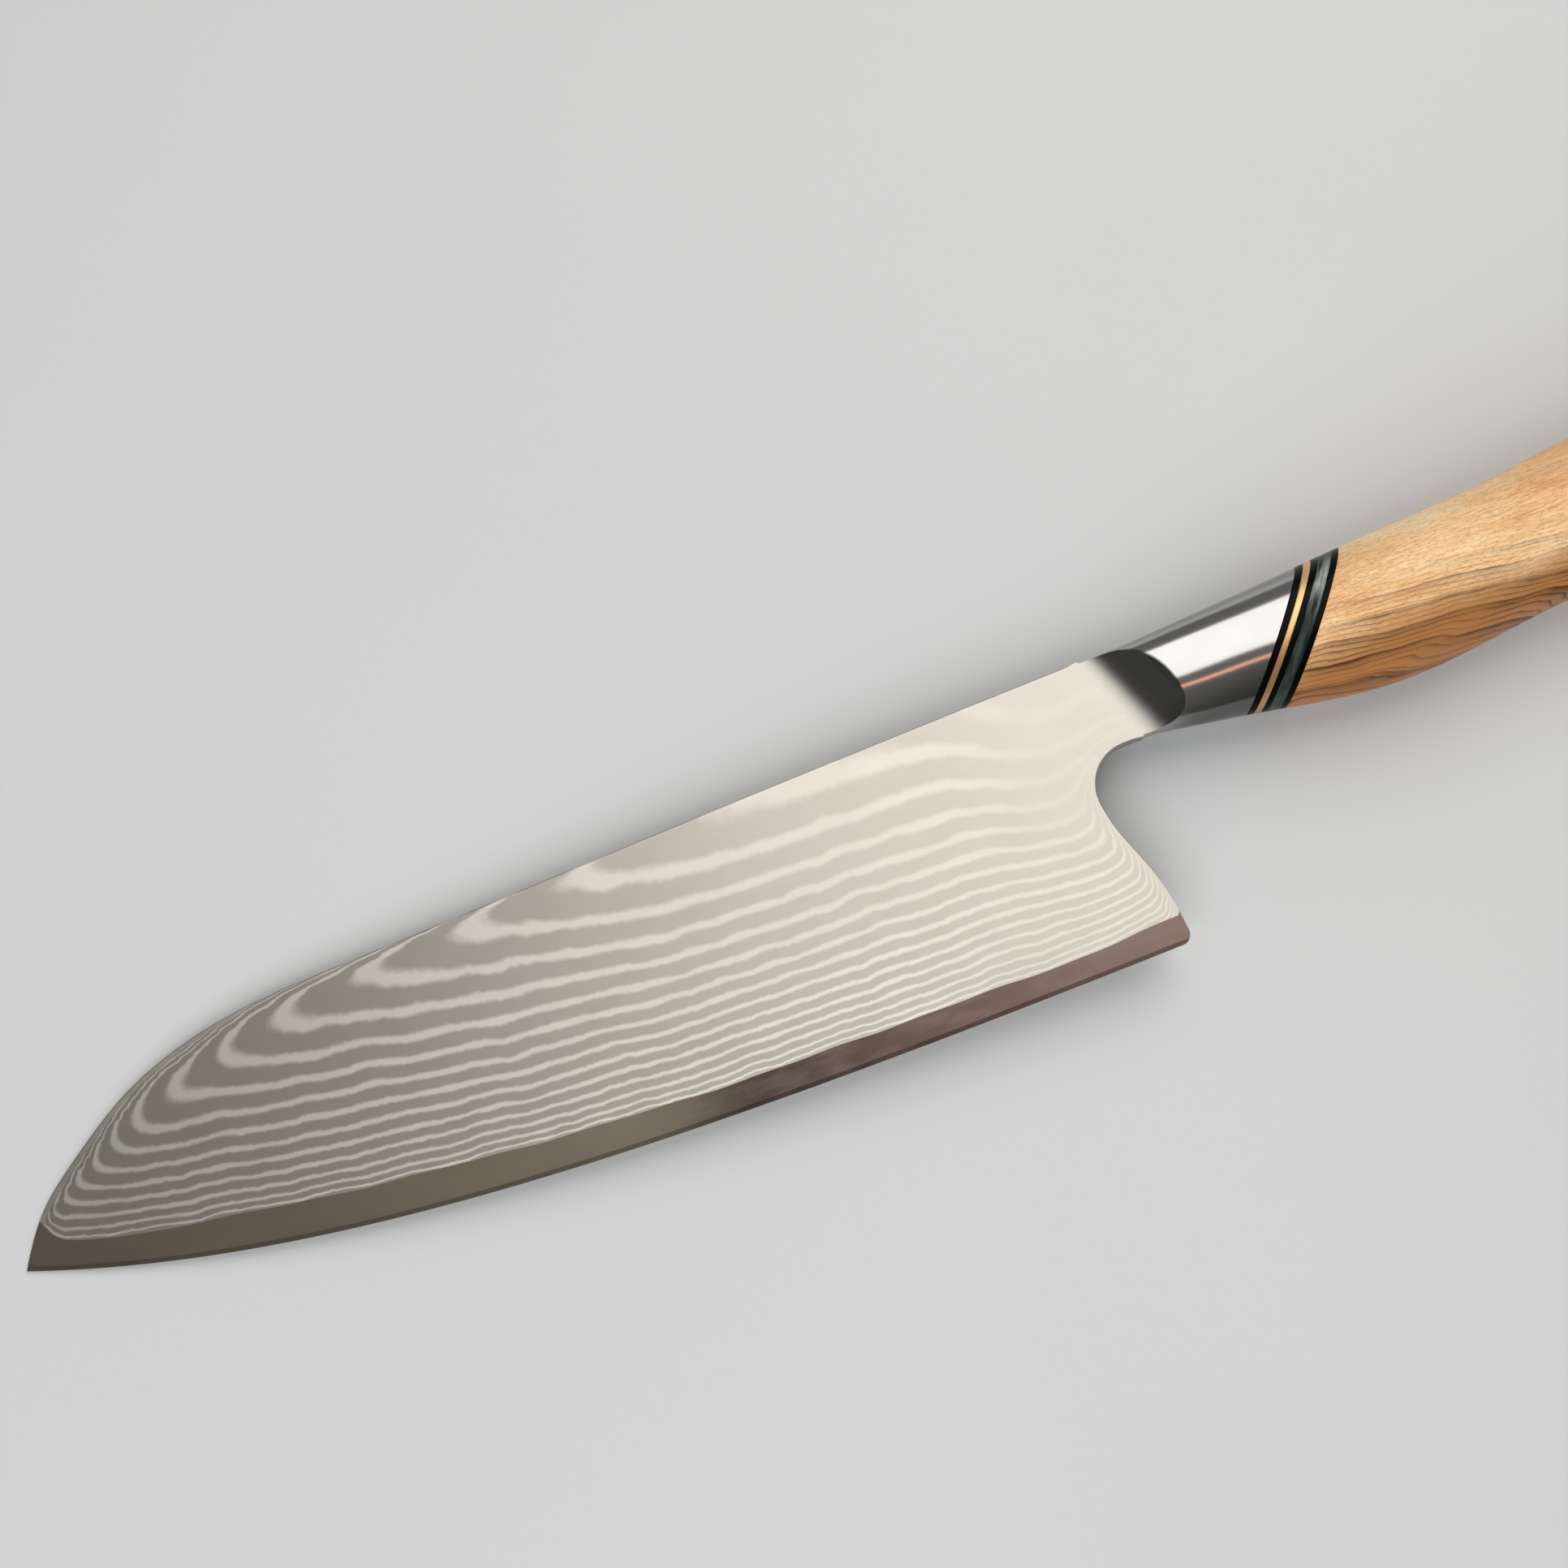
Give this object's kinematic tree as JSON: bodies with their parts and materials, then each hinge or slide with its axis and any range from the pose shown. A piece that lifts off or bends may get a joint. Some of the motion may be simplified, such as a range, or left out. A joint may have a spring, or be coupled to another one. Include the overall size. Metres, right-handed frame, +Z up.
{
  "type": "chef knife",
  "caption": "Kitchen knife with a patterned three-layer blade, scooped steel bolster, slanted spacers and a facetted wooden handle.",
  "frame": {"origin": "under the middle of the knife's box, on the table that the knife lies on", "axes": "+X from tip to butt, +Y from cutting edge to spine, +Z up from the table: the knife lies on its right side, left side up"},
  "size_m": [0.3196, 0.0596, 0.0261],
  "materials": {
    "core_steel": "satin, fine ground",
    "cladding_steel": "satin with a wavy layered pattern",
    "bolster_steel": "polished, very fine lines",
    "black_liner": "polished glass laminate",
    "brass": "satin",
    "slate_spacer": "polished laminate",
    "wood": "oiled satin",
    "tang_steel": "ground",
    "epoxy": "cured resin"
  },
  "bodies": {
    "root": {"blade_core": "core_steel", "cladding_left": "cladding_steel", "cladding_right": "cladding_steel", "bolster": "bolster_steel", "tang": "tang_steel", "liner_front_black": "black_liner", "spacer_brass": "brass", "liner_mid_black": "black_liner", "spacer_slate": "slate_spacer", "liner_rear_black": "black_liner", "handle_grip": "wood", "tang_bedding": "epoxy"}
  },
  "joints": []
}
